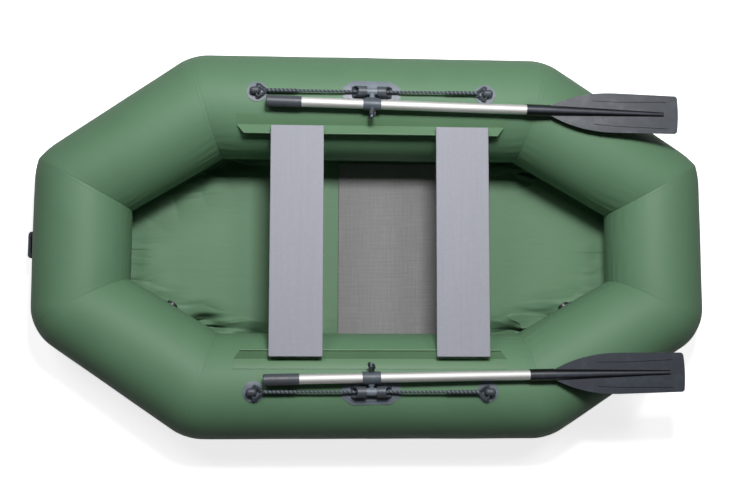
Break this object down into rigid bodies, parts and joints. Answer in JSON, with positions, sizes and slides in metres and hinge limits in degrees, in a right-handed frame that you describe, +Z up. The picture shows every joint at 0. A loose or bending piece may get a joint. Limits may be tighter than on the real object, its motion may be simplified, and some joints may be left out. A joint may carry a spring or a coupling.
{
  "type": "inflatable rowing boat",
  "caption": "Eight-sided inflatable rowing boat with a flat bottom, sliding bench seats, a floor mat, lifelines and oars that swivel on their rowlocks.",
  "frame": {"origin": "on the underside of the bottom sheet, halfway between the bow and stern tubes, on the middle line", "axes": "+X to the bow, +Y to port, +Z up"},
  "size_m": [2.4302, 1.3698, 0.4353],
  "materials": {
    "tube_fabric": "satin coated fabric",
    "sheet_fabric": "satin coated fabric",
    "mat_cover": "matte woven cover",
    "seat_board": "satin grey paint on plywood",
    "rail_plastic": "satin",
    "moulded_rubber": "satin",
    "axle_metal": "satin",
    "rope": "braided",
    "oar_plastic": "satin",
    "oar_metal": "satin"
  },
  "bodies": {
    "hull": {"bow_quarter_port": "tube_fabric", "side_tube_port": "tube_fabric", "stern_quarter_port": "tube_fabric", "stern_tube": "tube_fabric", "stern_quarter_starboard": "tube_fabric", "side_tube_starboard": "tube_fabric", "bow_quarter_starboard": "tube_fabric", "bow_tube": "tube_fabric", "bottom_sheet": "sheet_fabric", "bottom_lap": "sheet_fabric", "floor_mat": "mat_cover", "bow_handle_patch": "moulded_rubber", "bow_handle": "moulded_rubber", "valve_bow": "moulded_rubber", "valve_stern": "moulded_rubber", "seat_rail_port": "rail_plastic", "rowlock_base_port": "moulded_rubber", "rowlock_axle_port": "axle_metal", "rope_eye_fore_port": "moulded_rubber", "rope_eye_aft_port": "moulded_rubber", "lifeline_port": "rope", "seat_rail_starboard": "rail_plastic", "rowlock_base_starboard": "moulded_rubber", "rowlock_axle_starboard": "axle_metal", "rope_eye_fore_starboard": "moulded_rubber", "rope_eye_aft_starboard": "moulded_rubber", "lifeline_starboard": "rope"},
    "seat_fore": {"seat_plank_fore": "seat_board", "seat_tracks_fore": "rail_plastic"},
    "seat_aft": {"seat_plank_aft": "seat_board", "seat_tracks_aft": "rail_plastic"},
    "oar_port": {"oar_swivel_port": "oar_plastic", "oar_collar_port": "oar_plastic", "oar_shaft_port": "oar_metal", "oar_grip_port": "oar_plastic", "oar_blade_port": "oar_plastic", "oar_wing_nut_port": "oar_plastic"},
    "oar_starboard": {"oar_swivel_starboard": "oar_plastic", "oar_collar_starboard": "oar_plastic", "oar_shaft_starboard": "oar_metal", "oar_grip_starboard": "oar_plastic", "oar_blade_starboard": "oar_plastic", "oar_wing_nut_starboard": "oar_plastic"}
  },
  "joints": [
    {"name": "seat_fore_slide", "type": "slide", "parent": "hull", "child": "seat_fore", "axis": [1, 0, 0], "range_m": [-0.189, 0.095]},
    {"name": "seat_aft_slide", "type": "slide", "parent": "hull", "child": "seat_aft", "axis": [1, 0, 0], "range_m": [-0.037, 0.189]},
    {"name": "oar_swing_port", "type": "hinge", "parent": "hull", "child": "oar_port", "pos_m": [0.0115, 0.515, 0.392], "axis": [-0.9999, -0.0157, 0], "range_deg": [0, 152]},
    {"name": "oar_swing_starboard", "type": "hinge", "parent": "hull", "child": "oar_starboard", "pos_m": [0.0115, -0.515, 0.392], "axis": [0.9999, -0.0157, 0], "range_deg": [0, 152]}
  ]
}
